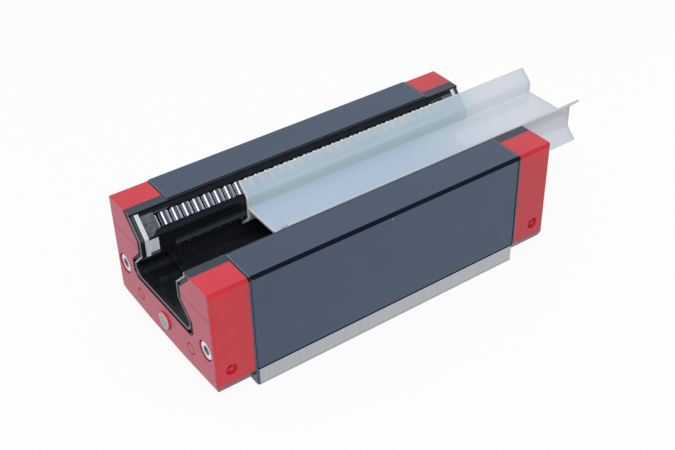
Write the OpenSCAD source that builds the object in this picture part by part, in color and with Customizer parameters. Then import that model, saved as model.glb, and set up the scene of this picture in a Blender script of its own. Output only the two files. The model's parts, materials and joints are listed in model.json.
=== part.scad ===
// Compact profiled-rail roller carriage, lying on its mounting face, with its
// plastic assembly rail partly drawn out. Millimetres.
// X runs along the rail (+X is the end the assembly rail leaves by), +Y is the
// left side, +Z points from the mounting face towards the rail channel.

/* [Steel body] */
// Length of the steel body
body_l = 141.5; // [100:0.5:220]
// Width of the steel body
body_w = 86; // [84:0.5:96]
// Height from the mounting face to the end of the legs
body_h = 58.2; // [57.6:0.1:64]
// Chamfer along the outer edges of the legs
body_chamfer = 1.4; // [0.6:0.1:2.5]
// Chamfer on the upright corners at the body's ends
end_chamfer = 1.2; // [0.4:0.1:2]
// Width of each leg where the channel opens between them
leg_w = 18.6; // [18:0.1:19.2]
// Depth of the channel between the legs
channel_d = 34; // [33.6:0.1:36]
// Height of the ground reference strip
strip_h = 9.2; // [6:0.1:14]
// Width of the relief groove above the reference strip
strip_groove_w = 0.6; // [0.3:0.1:1.5]
// Depth of the relief groove
strip_groove_d = 0.5; // [0.2:0.1:1]

/* [Mounting holes] */
// Hole spacing along the rail
mount_x = 80; // [60:1:90]
// Hole spacing across the rail
mount_y = 60; // [52:1:64]
// Core diameter of the mounting threads (M10)
mount_d = 8.5; // [5:0.1:10.2]
// Depth of the mounting threads
mount_depth = 17; // [10:0.5:20]
// Width of the countersink at the mouth of each thread
mount_sink = 1; // [0.3:0.1:1.5]

/* [Rail profile] */
// Distance in from the body's side to the side of the rail's head
rail_inset = 20.5; // [20:0.1:21.2]
// Distance in from the body's side to the rail's waist
waist_inset = 28.3; // [27.6:0.1:29.4]
// Distance from the end of the legs to the middle of the rail's waist
waist_drop = 14.05; // [13.4:0.05:14.6]
// Height of the rail's raceways over the waist's middle, at a load row's middle
race_rise = 10.65; // [10.5:0.05:10.9]
// Gap between the channel floor and the rail's head
head_gap = 3.6; // [3:0.1:4]
// Chamfer on the rail head's corners
head_chamfer = 2.8; // [1.5:0.1:3.5]

/* [Rollers] */
// Diameter of the rollers
roller_d = 4.9; // [4.4:0.05:5.1]
// Length of the rollers
roller_l = 6.4; // [5.4:0.1:7]
// Chamfer on the ends of the rollers
roller_chamfer = 0.3; // [0.1:0.05:0.6]
// Distance in from the body's side to a load row
row_inset = 22.2; // [21.8:0.1:22.6]
// Smallest play between neighbouring rollers on a straight run
roller_play = 0.3; // [0.2:0.05:0.8]
// Clearance between a roller and its track
track_gap = 0.15; // [0.08:0.01:0.3]
// How far the upper left rollers stand along their pitch
phase_upper_left = 4.3; // [0.2:0.1:4.8]
// How far the upper right rollers stand along their pitch
phase_upper_right = 2.1; // [0.2:0.1:4.8]
// How far the lower left rollers stand along their pitch
phase_lower_left = 4.8; // [0.2:0.1:4.8]
// How far the lower right rollers stand along their pitch
phase_lower_right = 2.9; // [0.2:0.1:4.8]

/* [End caps] */
// Length of an end cap
cap_l = 19; // [18:0.1:24]
// How far an end cap stays inside the body's sides
cap_inset = 0.4; // [0.2:0.1:1.5]
// How far an end cap stays below the end of the legs
cap_drop = 0.3; // [0.1:0.1:1]
// Wall of an end cap
cap_wall = 2.2; // [1.5:0.1:2.6]
// Front wall of an end cap, and thickness of the end seal in it
cap_front = 2.4; // [1.6:0.1:2.8]
// Height of the lower edge of an end cap's sides
cap_edge_z = 9.3; // [8.6:0.1:11]
// Height of the lower edge at the middle of an end cap's front
cap_belly_z = 6.9; // [6.2:0.1:8]
// Height of an end cap's underside
cap_under_z = 5.5; // [4:0.1:6]
// Thickness of the end plate's dark rim, between the body and the cap
rim_t = 0.8; // [0.4:0.1:1.2]
// Length of the end plate's foot beside the body
foot_l = 3.95; // [3:0.05:6]
// Chamfer along the outer edges of an end cap
cap_chamfer = 1.3; // [0.5:0.1:2]
// Radius of an end cap's upright corners
cap_round = 1.4; // [0.8:0.1:2.2]
// Distance of the fine line across an end cap's legs from the end of the legs
panel_line_drop = 14.5; // [8:0.1:16]
// Gap between the rail profile and an end cap's opening
cap_gap = 3.6; // [3:0.1:4]

/* [Cap fastening and lubrication] */
// Distance in from the body's side to a cap screw
screw_inset = 7.8; // [7:0.1:9]
// Height of the cap screws over the channel floor
screw_rise = 0.6; // [0.3:0.1:1.8]
// Diameter of the cap screws (M5)
screw_d = 5; // [4:0.1:5.5]
// Diameter of the cap screws' heads
screw_head_d = 8.3; // [7:0.1:8.8]
// Height of the cap screws' heads
screw_head_h = 4; // [3:0.1:5]
// Depth of the screw heads below the cap's front
screw_sink = 0.5; // [0.1:0.1:1]
// Diameter of the recess round a screw head
screw_recess_d = 9.7; // [8.9:0.1:9.9]
// Gap around a screw in its hole
screw_gap = 0.1; // [0.05:0.01:0.3]
// How far the cap screws reach into the body
screw_reach = 12; // [8:0.5:20]
// Width across flats of the sockets
socket_af = 4; // [2.5:0.1:4]
// Distance of the lubrication ports below the channel floor
port_drop = 8.05; // [7.2:0.05:9.2]
// Diameter of the port thread (M6)
port_d = 6; // [5:0.1:6.5]
// Diameter of the port plug's head
plug_d = 8; // [7:0.1:9]
// How far the port plug stands out of the cap
plug_proud = 1.1; // [0.5:0.1:2]
// Width of the raised ring round the port plug
boss_w = 0.4; // [0.3:0.05:1]
// Half of the distance between the closed front ports
closed_port_y = 22; // [18:0.1:24]
// Outer diameter of the ring that marks a closed front port
closed_port_d = 5.9; // [4:0.1:6.5]
// Distance of a side port from the body's middle
side_port_x = 82.5; // [80:0.1:84]
// Diameter of the recess of a side port
side_port_d = 5.6; // [4.5:0.1:6]
// Depth of the recess of a side port
side_port_depth = 1.4; // [0.6:0.1:1.8]

/* [Seals and retainers] */
// Gap between the rail profile and the lips of an end seal
lip_gap = 0.9; // [0.4:0.1:1.2]
// Thickness of an end seal's lip
lip_t = 0.8; // [0.5:0.1:1]
// Gap between the rail profile and the plastic retainers
guard_gap = 0.5; // [0.3:0.05:0.8]
// How far the end plates' dark edge stays behind the cap's front
edge_setback = 0.2; // [0.1:0.1:2]
// Wall of the end plates' tray under the channel
tray_t = 1.2; // [0.8:0.1:2]
// Wall between the channel floor and the chamber below it in a cap
floor_wall = 1.8; // [1.2:0.1:3]
// How far the waist retainers reach past the body at each end
retainer_reach = 10.25; // [8:0.25:12]
// Depth of the groove along a waist retainer
retainer_groove = 0.9; // [0.4:0.1:1.4]
// Width of the stepped groove along a waist retainer
retainer_groove_w = 3.6; // [2:0.1:5]
// How far the leg seals stand out into the mouth between the legs
leg_seal_out = 1.1; // [0.6:0.1:1.5]
// Width of the end plates' dark edge beside the channel
edge_strip_w = 5; // [4:0.1:6]
// Thickness of the end plates' dark edge
edge_strip_t = 1; // [0.8:0.1:1.4]
// Wall of the return tubes
tube_wall = 0.8; // [0.5:0.05:0.9]
// Clearance between a return tube and its passage
tube_gap = 0.1; // [0.05:0.01:0.2]
// Thickness of the white guide covers
cover_t = 2; // [1.2:0.1:2.4]

/* [Assembly rail] */
// Length of the assembly rail
slip_l = 168; // [120:1:200]
// How far the assembly rail stands out of the +X end
slip_out = 40.4; // [0:0.2:100]
// Wall of the assembly rail
slip_wall = 1.5; // [1:0.1:2]
// Thickness of the assembly rail's flanks at their tips
slip_tip_t = 1; // [0.8:0.05:1.2]
// How far the assembly rail's waist stands out past the rail profile
slip_waist_gap = 0.1; // [0:0.05:0.3]
// Gap between the assembly rail's flanks and the rollers
slip_gap = 0.5; // [0.35:0.05:1]
// Distance in from the body's side to the assembly rail's flank tips
slip_tip_inset = 22.6; // [22:0.1:24.5]
// Radius at the assembly rail's waist
slip_round = 1.2; // [1:0.1:4]

/* [Hidden] */
$fn = 48;
root2 = sqrt(2);
cut = 1;
body_half = body_l / 2;
half_w = body_w / 2;
base_chamfer = 0.6;
end_x = body_half + cap_l;
cap_half = half_w - cap_inset;
cap_top = body_h - cap_drop;

// Places that follow the body's sides and the ends of its legs
mouth_half = half_w - leg_w;
rail_half = half_w - rail_inset;
waist_half = half_w - waist_inset;
row_y = half_w - row_inset;
screw_y = half_w - screw_inset;
slip_tip_half = half_w - slip_tip_inset;
leg_seal_y = mouth_half - leg_seal_out;
floor_z = body_h - channel_d;
waist_z = body_h - waist_drop;
head_z = floor_z + head_gap;
screw_z = floor_z + screw_rise;
port_z = floor_z - port_drop;

// Raceway planes: z - y is plane_up on the foot side and z + y is plane_low on
// the head side, at 45 degrees
plane_up = waist_z + race_rise - row_y;
plane_low = waist_z - race_rise + row_y;

// Centre heights of the load rows
upper_z = row_y + plane_up - roller_d / root2;
lower_z = 2 * waist_z - upper_z;

// The pitch fills the body evenly; turns start just outside the steel
turn_lead = 0.125;
low_count = floor(body_l / (roller_d + roller_play));
up_count = low_count + 1;
pitch = (body_l + 2 * turn_lead) / low_count;
low_turn_x = low_count * pitch / 2;
up_turn_x = up_count * pitch / 2;

// Each turn is a half circle of a whole number of pitches
low_arc = 3;
up_arc = 6;
low_radius = low_arc * pitch / PI;
up_radius = up_arc * pitch / PI;

// Tracks that the rollers run in, half their height and half their width
track_half = roller_d / 2 + track_gap;
track_side = roller_l / 2 + track_gap;
tube_half = track_half + tube_wall;
tube_side = track_side + tube_wall;
tube_round = 1.5;

// Cross-section in slanted coordinates: u across the rollers, v along them
row_u = (row_y - upper_z) / root2;
row_v = (row_y + upper_z) / root2;
race_u = row_u + track_half;
guard_u = (guard_gap * root2 - plane_up) / root2;
guard_y = waist_half + guard_gap;
guard_z = guard_y - guard_u * root2;
wall_gap = 1.4;
waist_wall_y = row_y - wall_gap;
waist_wall_z = waist_wall_y - race_u * root2;

// Steel pockets that hold the seals and retainers
seat_depth = 2.4;
seat_lip = 1.2;
seat_y = mouth_half + seat_depth;
seat_z = seat_y - race_u * root2;

// Inside an end cap
inner_x = end_x - cap_front;
pocket_half = cap_half - cap_wall;
pocket_top = cap_top - cap_wall;
chamber_base = cap_under_z + floor_wall;
chamber_top = floor_z - floor_wall;
screw_wall = 2.25;
block_base = screw_z + screw_head_d / 2 + screw_wall;
plate_x = up_turn_x;
guide_nose = 0.7;
nose_depth = row_u - guard_u - guide_nose;
up_nose_x = up_turn_x + sqrt(pow(up_radius + track_half, 2) - pow(up_radius + nose_depth, 2));
low_nose_x = low_turn_x + sqrt(pow(low_radius + track_half, 2) - pow(low_radius + nose_depth, 2));
brow_t = 2;
foot_x = body_half + foot_l;
cover_x = inner_x - cover_t;
tab_x = body_half + retainer_reach;
tab_half = 3.2;
tab_rise = 0.35;
edge_x = end_x - edge_setback;
edge_z = cap_top - edge_strip_t;
opening_half = edge_z - plane_up + cap_gap * root2;
tray_gap = cap_gap - tray_t;
tray_drop = 0.4;
tray_top = block_base - tray_drop;
lap = 0.5;

// A cap's front slopes inwards below its lower edge, which rises to the sides
skirt_slope = 0.286;
skirt_inset = 1.6;
belly_half = 16;
shoulder_drop = 0.4;
belly_angle = atan((cap_edge_z - shoulder_drop - cap_belly_z) / (cap_half - belly_half));

// Marks, holes and grooves
hole_spare = 1;
mark_depth = 0.4;
mark_wall = 0.6;
nub_d = 1.9;
nub_drop = 0.3;
line_w = 0.3;
line_depth = 0.2;
line_z = body_h - panel_line_drop;
boss_rise = 0.7;

// The waist retainers' groove and the tongues at their ends
groove_end = 2.65;
groove_x = body_half + groove_end;
groove_drop = 0.95;
groove_z = waist_z - groove_drop;
groove_slope = 2.8;
shelf_depth = retainer_groove * 0.45;
shelf_z = groove_z + retainer_groove_w * 0.55;
relief_end = 4.55;
relief_depth = 0.55;
relief_rise = 4;
tongue_t = 1.5;
tongue_w = 2;
tongue_bend = 2.2;
tongue_neck = 0.45;
tongue_tip = 0.2;

// The grooves in an end seal's face, beside its rim and its lip
seal_groove = 1;
seal_rim_gap = cap_gap - 0.3;
seal_rim_t = 0.4;

// Slanted coordinates to sideways distance and height
function yz(u, v) = [(u + v) / root2, (v - u) / root2];

// The same point on the other side of the waist's middle
function flip(p) = [p[0], 2 * waist_z - p[1]];

function reversed(list) = [for (i = [len(list) - 1 : -1 : 0]) list[i]];

// Half of the rail's outline, moved out by a gap, from the foot to the head
function rail_half_path(gap, top, foot) = [
    [foot, top],
    [foot, foot + plane_up - gap * root2],
    [waist_half + gap, waist_half + gap + plane_up - gap * root2],
    [waist_half + gap, plane_low + gap * root2 - waist_half - gap],
    [rail_half + gap, plane_low + gap * root2 - rail_half - gap],
    [rail_half + gap, head_z - gap + head_chamfer],
    [rail_half + gap - head_chamfer, head_z - gap]
];

function both_sides(path) = concat(path, [for (p = reversed(path)) [-p[0], p[1]]]);

// A YZ outline drawn out along X
module span(x0, x1) {
    translate([x0, 0, 0])
        rotate([90, 0, 90])
            linear_extrude(x1 - x0) children();
}

module left_and_right() {
    children();
    mirror([0, 1, 0]) children();
}

module both_ends() {
    children();
    mirror([1, 0, 0]) children();
}

module on_side(side) {
    mirror([0, side == "left" ? 0 : 1, 0]) children();
}

module at_end(end) {
    mirror([end == "rear" ? 0 : 1, 0, 0]) children();
}

module rail_space(gap, x0, x1) {
    span(x0, x1)
        polygon(both_sides(rail_half_path(gap, body_h + cut, rail_half + gap)));
}

// The same for an end cap's opening, whose slanted sides run up to the dark edge
module opening_space(gap, x0, x1) {
    span(x0, x1)
        polygon(both_sides(rail_half_path(gap, body_h + cut, opening_half)));
}

// A 2D rectangle centred on a roller track, tilted with it
module track_outline(depth, tilt, half, side) {
    translate([row_y + depth / root2, tilt < 0 ? upper_z - depth / root2 : lower_z + depth / root2])
        rotate(tilt) square([2 * half, 2 * side], center = true);
}

module upper_track(depth, half, side) {
    track_outline(depth, -45, half, side);
}

module lower_track(depth, half, side) {
    track_outline(depth, 45, half, side);
}

module tube_outline(half, side, round) {
    square([2 * (half - round), 2 * side], center = true);
    square([2 * half, 2 * (side - round)], center = true);
    for (i = [-1, 1])
        for (j = [-1, 1])
            translate([i * (half - round), j * (side - round)]) circle(round);
}

module return_outline(tilt, radius, extra) {
    depth = 2 * radius;
    translate([row_y + depth / root2, tilt < 0 ? upper_z - depth / root2 : lower_z + depth / root2])
        rotate(tilt) tube_outline(tube_half + extra, tube_side + extra, tube_round + extra);
}

// A drum that fills a turn, out to a given radius
module turn_drum(tilt, x, radius, reach, side) {
    translate([x, row_y + radius / root2, tilt < 0 ? upper_z - radius / root2 : lower_z + radius / root2])
        rotate([tilt < 0 ? -45 : -135, 0, 0])
            cylinder(r = reach, h = 2 * side, center = true);
}

module upper_drum(reach) {
    turn_drum(-45, up_turn_x, up_radius, reach, track_side);
}

module lower_drum(reach) {
    turn_drum(45, low_turn_x, low_radius, reach, track_side);
}

// The space that the lower circuit's rollers sweep beyond the steel
module lower_turn_space() {
    span(body_half - cut, low_turn_x) {
        lower_track(0, track_half, track_side);
        lower_track(2 * low_radius, track_half, track_side);
    }
    intersection() {
        difference() {
            lower_drum(low_radius + track_half);
            lower_drum(low_radius - track_half);
        }
        translate([low_turn_x, 0, 0]) cube([cap_l, half_w, body_h]);
    }
}

// ---------------------------------------------------------------- steel body

module body_profile() {
    half = [
        [half_w - base_chamfer, 0],
        [half_w, base_chamfer],
        [half_w, body_h - body_chamfer],
        [half_w - body_chamfer, body_h],
        [mouth_half, body_h],
        [mouth_half, body_h - seat_lip],
        [seat_y, body_h - seat_lip],
        [seat_y, seat_z],
        [waist_wall_y, waist_wall_z],
        flip([waist_wall_y, waist_wall_z]),
        flip([seat_y, seat_z]),
        [seat_y, floor_z]
    ];
    difference() {
        polygon(both_sides(half));
        translate([-half_w, strip_h])
            square([strip_groove_d, strip_groove_w]);
        left_and_right_2d() {
            return_outline(-45, up_radius, tube_gap);
            return_outline(45, low_radius, tube_gap);
        }
    }
}

module left_and_right_2d() {
    children();
    mirror([1, 0]) children();
}

module body_corners() {
    linear_extrude(body_h)
        polygon([
            [body_half, half_w - end_chamfer],
            [body_half - end_chamfer, half_w],
            [end_chamfer - body_half, half_w],
            [-body_half, half_w - end_chamfer],
            [-body_half, end_chamfer - half_w],
            [end_chamfer - body_half, -half_w],
            [body_half - end_chamfer, -half_w],
            [body_half, end_chamfer - half_w]
        ]);
}

module mount_thread() {
    translate([0, 0, -cut])
        cylinder(d = mount_d, h = mount_depth + cut);
    cylinder(d1 = mount_d + 2 * mount_sink, d2 = mount_d, h = mount_sink);
}

module carriage_body() {
    color("#4e5a66")
        difference() {
            intersection() {
                span(-body_half, body_half) body_profile();
                body_corners();
            }
            for (x = [-mount_x / 2, mount_x / 2])
                for (y = [-mount_y / 2, mount_y / 2])
                    translate([x, y, 0]) mount_thread();
            for (end = ["front", "rear"])
                at_end(end)
                    left_and_right()
                        translate([body_half - screw_reach - hole_spare, screw_y, screw_z])
                            rotate([0, 90, 0])
                                cylinder(d = screw_d + 2 * screw_gap, h = screw_reach + hole_spare + cut);
        }
}

// ---------------------------------------------------------------- end caps

module cap_outline() {
    half = [
        [cap_half - skirt_inset, cap_under_z],
        [cap_half, cap_edge_z],
        [cap_half, cap_top - cap_chamfer],
        [cap_half - cap_chamfer, cap_top]
    ];
    polygon(both_sides(half));
}

// Seen from above: square towards the body, rounded at the front
module rounded_plan() {
    translate([body_half, -cap_half])
        square([cap_l - cap_round, 2 * cap_half]);
    translate([body_half, cap_round - cap_half])
        square([cap_l, 2 * (cap_half - cap_round)]);
    for (side = [-1, 1])
        translate([end_x - cap_round, side * (cap_half - cap_round)]) circle(cap_round);
}

// Wedge that slopes a cap's front inwards below its lower edge
module skirt_wedge() {
    drop = 2 * cap_edge_z;
    translate([0, 2 * body_w, 0])
        rotate([90, 0, 0])
            linear_extrude(4 * body_w)
                polygon([
                    [end_x, 0],
                    [end_x + cut, 0],
                    [end_x + cut, -drop],
                    [end_x - skirt_slope * drop, -drop]
                ]);
}

// The front's lower edge is level in the middle and rises towards the sides
module skirt_cut() {
    translate([0, 0, cap_belly_z]) skirt_wedge();
    left_and_right()
        translate([0, belly_half, cap_belly_z])
            rotate([belly_angle, 0, 0])
                intersection() {
                    skirt_wedge();
                    translate([0, 0, -body_h]) cube([2 * end_x, body_w, body_h]);
                }
}

// The block of space behind the front wall that holds a roller guide
module guide_outline() {
    polygon([
        [pocket_top + guard_u * root2, pocket_top],
        [guard_y, guard_z],
        [guard_y, 2 * waist_z - guard_z],
        flip([pocket_top + guard_u * root2, pocket_top]),
        [seat_y, 2 * waist_z - pocket_top],
        [seat_y, block_base],
        [pocket_half, block_base],
        [pocket_half, pocket_top]
    ]);
}

module edge_strip_outline(extra) {
    translate([leg_seal_y, edge_z])
        square([edge_strip_w, edge_strip_t + extra]);
}

// Joins the dark edge to the end plate's flange
module edge_riser_outline() {
    translate([leg_seal_y, pocket_top - lap])
        square([edge_strip_w, edge_z - pocket_top + 2 * lap]);
}

// Fills the corner between a roller guide, the cap's opening and the dark edge
module hood_outline() {
    root_z = edge_z + edge_strip_t / 2;
    polygon([
        [pocket_top + guard_u * root2, pocket_top],
        [leg_seal_y, leg_seal_y - guard_u * root2],
        [leg_seal_y, root_z],
        [leg_seal_y + lap, root_z],
        [leg_seal_y + lap, edge_z],
        [opening_half, edge_z],
        [opening_half + pocket_top - edge_z, pocket_top]
    ]);
}

// Closes the gap between the upper rollers' edge and the hood
module brow_outline(extra) {
    edge_v = row_v + track_side - extra;
    brow_u = guard_u + brow_t;
    polygon([
        yz(guard_u, edge_v),
        yz(brow_u, edge_v),
        [pocket_top + brow_u * root2, pocket_top],
        [pocket_top + brow_u * root2, pocket_top + lap],
        [pocket_top + lap + guard_u * root2, pocket_top + lap]
    ]);
}

module panel_line() {
    translate([end_x - line_depth, 0, line_z])
        cube([line_depth + cut, cap_half - cap_round, line_w]);
}

module end_cap(end) {
    color("#c8323c")
        at_end(end)
            difference() {
                union() {
                    intersection() {
                        span(body_half + rim_t, end_x) cap_outline();
                        linear_extrude(body_h) rounded_plan();
                    }
                    port_boss();
                }
                skirt_cut();
                opening_space(cap_gap, body_half - cut, end_x + cut);
                // Back recess for the end plate and its foot
                span(body_half - cut, plate_x)
                    translate([-pocket_half, 0])
                        square([2 * pocket_half, pocket_top]);
                span(body_half - cut, foot_x)
                    translate([-body_w, 0])
                        square([2 * body_w, cap_edge_z]);
                // Chamber under the channel
                span(body_half - cut, inner_x)
                    translate([-pocket_half, chamber_base])
                        square([2 * pocket_half, chamber_top - chamber_base]);
                left_and_right() {
                    span(body_half - cut, inner_x) guide_outline();
                    span(body_half - cut, edge_x) edge_strip_outline(cut);
                    span(body_half - cut, plate_x) edge_riser_outline();
                    panel_line();
                    cap_screw_hole();
                    closed_port();
                    side_port();
                }
                port_bore();
            }
}

module cap_screw_hole() {
    translate([body_half - cut, screw_y, screw_z])
        rotate([0, 90, 0])
            cylinder(d = screw_d + 2 * screw_gap, h = cap_l + 2 * cut);
    translate([end_x - screw_sink - screw_head_h, screw_y, screw_z])
        rotate([0, 90, 0])
            cylinder(d = screw_recess_d, h = screw_sink + screw_head_h + cut);
}

// A shallow ring that marks where a front port can be drilled open
module closed_port() {
    translate([end_x - mark_depth, closed_port_y, port_z])
        rotate([0, 90, 0])
            difference() {
                cylinder(d = closed_port_d, h = mark_depth + cut);
                translate([0, 0, -cut])
                    cylinder(d = closed_port_d - 2 * mark_wall, h = mark_depth + 3 * cut);
            }
}

// A recess with a centring nub, where a side port can be drilled open
module side_port() {
    translate([side_port_x, cap_half - side_port_depth, port_z])
        rotate([-90, 0, 0])
            difference() {
                cylinder(d = side_port_d, h = side_port_depth + cut);
                translate([0, 0, -cut])
                    cylinder(d = nub_d, h = side_port_depth - nub_drop + cut);
            }
}

// The raised ring round the port plug's head
module port_boss() {
    translate([end_x - lap, 0, port_z])
        rotate([0, 90, 0])
            cylinder(d = plug_d + 2 * boss_w, h = lap + boss_rise);
}

module port_bore() {
    translate([0, 0, port_z])
        rotate([0, 90, 0]) {
            translate([0, 0, inner_x - cut])
                cylinder(d = port_d + 2 * screw_gap, h = cap_front + 2 * cut);
            translate([0, 0, end_x])
                cylinder(d = plug_d + 2 * screw_gap, h = boss_rise + cut);
        }
}

module end_cap_front() { end_cap("front"); }
module end_cap_rear() { end_cap("rear"); }

// ---------------------------------------------------------------- end plates

module end_plate(end) {
    color("#2b2e33")
        at_end(end)
            difference() {
                union() {
                    plate_flange();
                    plate_rim();
                    plate_foot();
                    left_and_right() {
                        span(body_half, edge_x) edge_strip_outline(0);
                        span(body_half, plate_x) edge_riser_outline();
                        span(body_half, cover_x) hood_outline();
                        span(plate_x - lap, up_nose_x) brow_outline(0);
                        upper_core();
                    }
                    channel_tray();
                }
                left_and_right() {
                    lower_turn_space();
                    plate_tracks();
                    translate([body_half - cut, screw_y, screw_z])
                        rotate([0, 90, 0])
                            cylinder(d = screw_d + 2 * screw_gap, h = cap_l);
                }
            }
}

// The flange that closes the back of the cap against the steel
module plate_flange() {
    difference() {
        span(body_half, plate_x)
            translate([-pocket_half, cap_under_z + lap])
                square([2 * pocket_half, pocket_top - cap_under_z - lap]);
        rail_space(guard_gap, body_half - cut, plate_x + cut);
    }
}

// The rim of the flange, flush with the cap's outside
module plate_rim() {
    difference() {
        span(body_half, body_half + rim_t) cap_outline();
        span(body_half - cut, plate_x)
            translate([lap - pocket_half, chamber_base])
                square([2 * (pocket_half - lap), pocket_top - lap - chamber_base]);
        opening_space(cap_gap, body_half - cut, plate_x);
    }
}

// The foot that closes the cap's underside beside the body
module plate_foot() {
    intersection() {
        span(body_half, foot_x) cap_outline();
        cube([2 * foot_x, 2 * body_w, 2 * cap_edge_z], center = true);
    }
}

// Half drums that the upper rollers turn round
module upper_core() {
    intersection() {
        upper_drum(up_radius - track_half);
        translate([plate_x - lap, 0, 0]) cube([cap_l, half_w, body_h]);
    }
}

// The dark floor and lower walls of the channel inside the cap
module channel_tray() {
    difference() {
        rail_space(cap_gap, body_half, inner_x);
        rail_space(tray_gap, body_half - cut, inner_x + cut);
        translate([0, -half_w, tray_top]) cube([end_x, body_w, body_h]);
    }
}

module plate_tracks() {
    span(body_half - cut, plate_x) {
        upper_track(-track_half, 2 * track_half, track_side);
        upper_track(2 * up_radius, track_half, track_side);
        lower_track(-track_half, 2 * track_half, track_side);
    }
    span(body_half - cut, tab_x) waist_slot();
}

module end_plate_front() { end_plate("front"); }
module end_plate_rear() { end_plate("rear"); }

// ---------------------------------------------------------------- end seals

// A full ring with a narrow rim and the sealing lip standing out at its face
module end_seal(end) {
    face_x = end_x - seal_groove;
    color("#1c1d20")
        at_end(end)
            difference() {
                union() {
                    seal_ring() {
                        opening_space(cap_gap, inner_x, face_x);
                        rail_space(lip_gap, inner_x - cut, end_x);
                    }
                    seal_ring() {
                        opening_space(seal_rim_gap, face_x - lap, end_x);
                        opening_space(seal_rim_gap - seal_rim_t, inner_x, end_x + cut);
                    }
                    seal_ring() {
                        rail_space(lip_gap + lip_t, face_x - lap, end_x);
                        rail_space(lip_gap, inner_x, end_x + cut);
                    }
                }
                left_and_right()
                    span(inner_x - cut, edge_x) edge_strip_outline(cut);
            }
}

// The first shape without the others, below the end of the cap's legs
module seal_ring() {
    intersection() {
        difference() {
            children(0);
            children(1);
        }
        translate([0, -half_w, 0]) cube([2 * end_x, body_w, cap_top]);
    }
}

module end_seal_front() { end_seal("front"); }
module end_seal_rear() { end_seal("rear"); }

// ---------------------------------------------------------------- roller guides

// Grey block that steers both circuits of one leg round the end
module roller_guide(end, side) {
    color("#6c7278")
        at_end(end)
            on_side(side)
                difference() {
                    span(plate_x, inner_x) guide_outline();
                    upper_drum(up_radius + track_half);
                    lower_drum(low_radius + track_half);
                    guide_noses();
                    span(plate_x - cut, up_nose_x) brow_outline(lap);
                    span(plate_x - cut, tab_x) guide_slot_outline();
                    tongue(cut, lap);
                    span(tab_x - cut, cover_x + cut) tab_outline();
                    span(cover_x, inner_x + cut) cover_outline();
                }
}

// Blunts the edges where the rollers of both circuits leave the guide
module guide_noses() {
    depth = row_u - guard_u;
    middle = (guide_nose + lap - cut) / 2 - depth;
    half = (guide_nose + lap + cut) / 2;
    span(plate_x - cut, up_nose_x) upper_track(middle, half, track_side + lap);
    span(plate_x - cut, low_nose_x) lower_track(middle, half, track_side + lap);
}

module tab_outline() {
    translate([guard_y, waist_z + tab_rise - tab_half])
        square([waist_wall_y - guard_y, 2 * tab_half]);
}

module cover_outline() {
    top = pocket_top;
    polygon([
        [leg_seal_y, leg_seal_y - guard_u * root2],
        [guard_y, guard_z],
        [guard_y, 2 * waist_z - guard_z],
        flip([top + guard_u * root2, top]),
        [seat_y, 2 * waist_z - top],
        [seat_y, top],
        [opening_half + top - edge_z, top],
        [opening_half, edge_z],
        [leg_seal_y, edge_z]
    ]);
}

// White cover with a tab that holds the end of the waist retainer
module guide_cover(end, side) {
    color("#d9dcd8")
        at_end(end)
            on_side(side)
                difference() {
                    union() {
                        span(cover_x, inner_x) cover_outline();
                        span(tab_x, cover_x) tab_outline();
                    }
                    upper_drum(up_radius + track_half);
                }
}

module roller_guide_front_left() { roller_guide("front", "left"); }
module roller_guide_front_right() { roller_guide("front", "right"); }
module roller_guide_rear_left() { roller_guide("rear", "left"); }
module roller_guide_rear_right() { roller_guide("rear", "right"); }
module guide_cover_front_left() { guide_cover("front", "left"); }
module guide_cover_front_right() { guide_cover("front", "right"); }
module guide_cover_rear_left() { guide_cover("rear", "left"); }
module guide_cover_rear_right() { guide_cover("rear", "right"); }

// ---------------------------------------------------------------- retainers

// Strip between the two load rows, along the rail's waist
module waist_outline() {
    edge_v = row_v - track_side;
    upper = [
        [guard_y, guard_z],
        yz(guard_u, edge_v),
        yz(race_u, edge_v),
        [waist_wall_y, waist_wall_z]
    ];
    polygon(concat(upper, [for (p = reversed(upper)) flip(p)]));
}

// The cut for that strip, which also clears the way towards the rail
module waist_slot() {
    edge_v = row_v - track_side + lap;
    upper = [
        [guard_y - cut, guard_z],
        yz(guard_u - cut, edge_v),
        yz(race_u, edge_v),
        [waist_wall_y, waist_wall_z]
    ];
    polygon(concat(upper, [for (p = reversed(upper)) flip(p)]));
}

// The cut for that strip in a guide, no wider than the strip at the guide's face
module guide_slot_outline() {
    edge_v = row_v - track_side;
    step_u = guard_u + guide_nose;
    upper = [
        [guard_y - cut, guard_z],
        yz(guard_u - cut, edge_v),
        yz(step_u, edge_v),
        yz(step_u, edge_v + lap),
        yz(race_u, edge_v + lap),
        [waist_wall_y, waist_wall_z]
    ];
    polygon(concat(upper, [for (p = reversed(upper)) flip(p)]));
}

// Cross-section of the tongue that the strip ends in, over a tab
module tongue_outline(clear, drop) {
    edge_v = row_v - track_side;
    low_z = waist_z + tab_rise + tab_half - drop;
    polygon([
        [guard_y - clear, low_z],
        [guard_y - clear, guard_z],
        yz(guard_u - clear, edge_v),
        yz(guard_u + tongue_t, edge_v),
        [low_z + (guard_u + tongue_t) * root2, low_z]
    ]);
}

// The tongue's tapering outline, seen square to its slanted face
module tongue_plan() {
    corner_v = guard_z * root2 + guard_u;
    polygon([
        [tab_x - cut, corner_v - 2 * cut],
        [tab_x - cut, corner_v + tongue_w],
        [tab_x, corner_v + tongue_w],
        [tab_x + tongue_bend, corner_v + tongue_neck],
        [cover_x + cut, corner_v + tongue_tip],
        [cover_x + cut, corner_v - 2 * cut]
    ]);
}

module tongue(clear, drop) {
    intersection() {
        span(tab_x - lap, cover_x + drop) tongue_outline(clear, drop);
        rotate([45, 0, 0])
            translate([0, 0, -guard_u - tongue_t - cut])
                linear_extrude(tongue_t + 3 * cut) tongue_plan();
    }
}

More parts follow.
